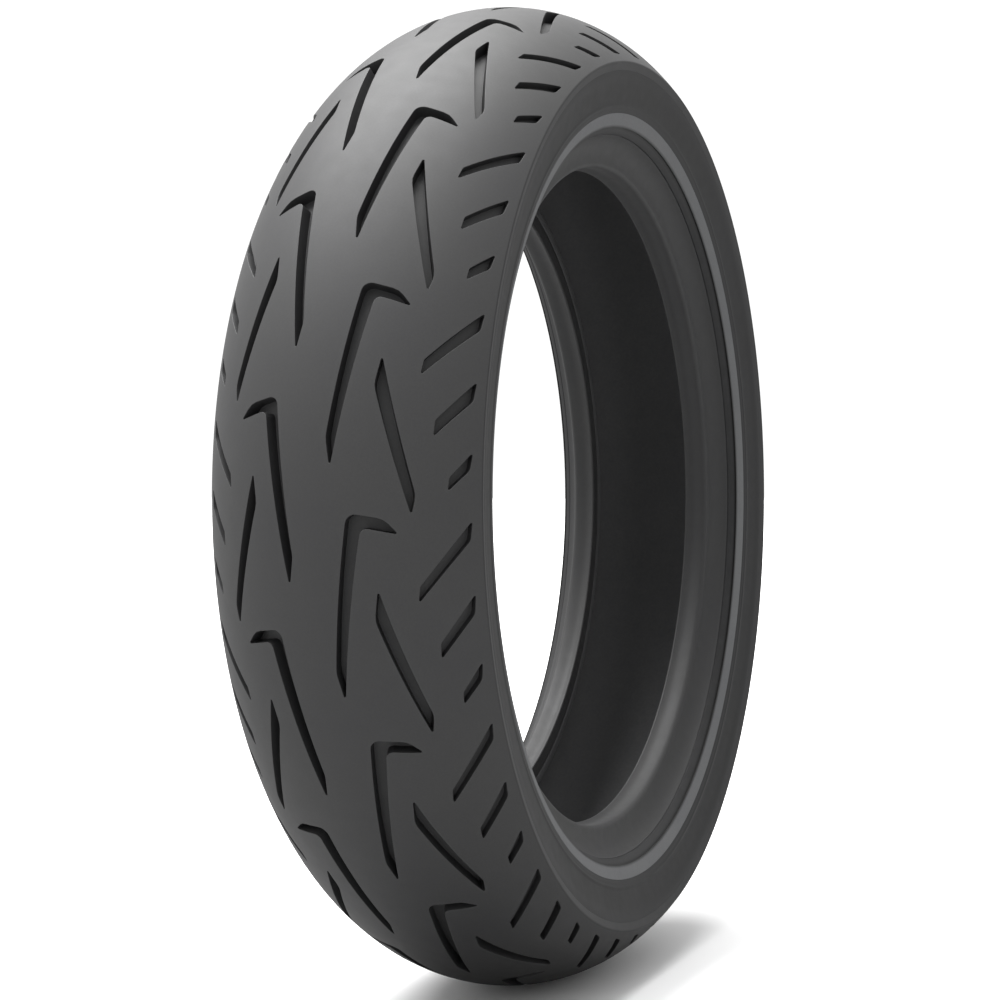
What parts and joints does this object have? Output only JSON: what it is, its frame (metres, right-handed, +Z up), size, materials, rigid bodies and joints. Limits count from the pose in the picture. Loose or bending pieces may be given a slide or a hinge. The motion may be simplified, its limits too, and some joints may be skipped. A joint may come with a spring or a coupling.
{
  "type": "motorcycle tire",
  "caption": "Tubeless scooter or motorcycle tyre off its rim, round profile, with hooked and bladed tread grooves, shoulder slits and a pale sidewall ring.",
  "frame": {"origin": "middle of the tyre: the axle line at the centre plane", "axes": "+Y along the axle towards the left sidewall, +Z up, the tyre stands on its tread at -Z"},
  "size_m": [0.49, 0.1256, 0.49],
  "materials": {
    "tread_rubber": "moulded, satin",
    "base_rubber": "cured rubber",
    "sidewall_rubber": "moulded, satin",
    "grey_rubber": "moulded, matt grey",
    "cushion_rubber": "moulded, satin",
    "liner_rubber": "butyl rubber, matt",
    "ply_cord": "nylon cord in rubber",
    "rubbered_fabric": "nylon weave in rubber",
    "hard_rubber": "hard rubber",
    "bead_wire": "bronze-coated steel wire"
  },
  "bodies": {
    "root": {"bead_filler_left": "hard_rubber", "bead_filler_right": "hard_rubber", "bead_insulation_left": "hard_rubber", "bead_insulation_right": "hard_rubber", "bead_wires_left": "bead_wire", "bead_wires_right": "bead_wire", "bead_wrap_left": "rubbered_fabric", "bead_wrap_right": "rubbered_fabric", "breaker_inner": "ply_cord", "breaker_outer": "ply_cord", "carcass_ply_inner": "ply_cord", "carcass_ply_outer": "ply_cord", "chafer_left": "rubbered_fabric", "chafer_right": "rubbered_fabric", "inner_liner": "liner_rubber", "rim_cushion_left": "cushion_rubber", "rim_cushion_right": "cushion_rubber", "sidewall_band_left": "grey_rubber", "sidewall_band_right": "grey_rubber", "sidewall_left": "sidewall_rubber", "sidewall_right": "sidewall_rubber", "tread_base": "base_rubber", "tread_cap": "tread_rubber"}
  },
  "joints": []
}
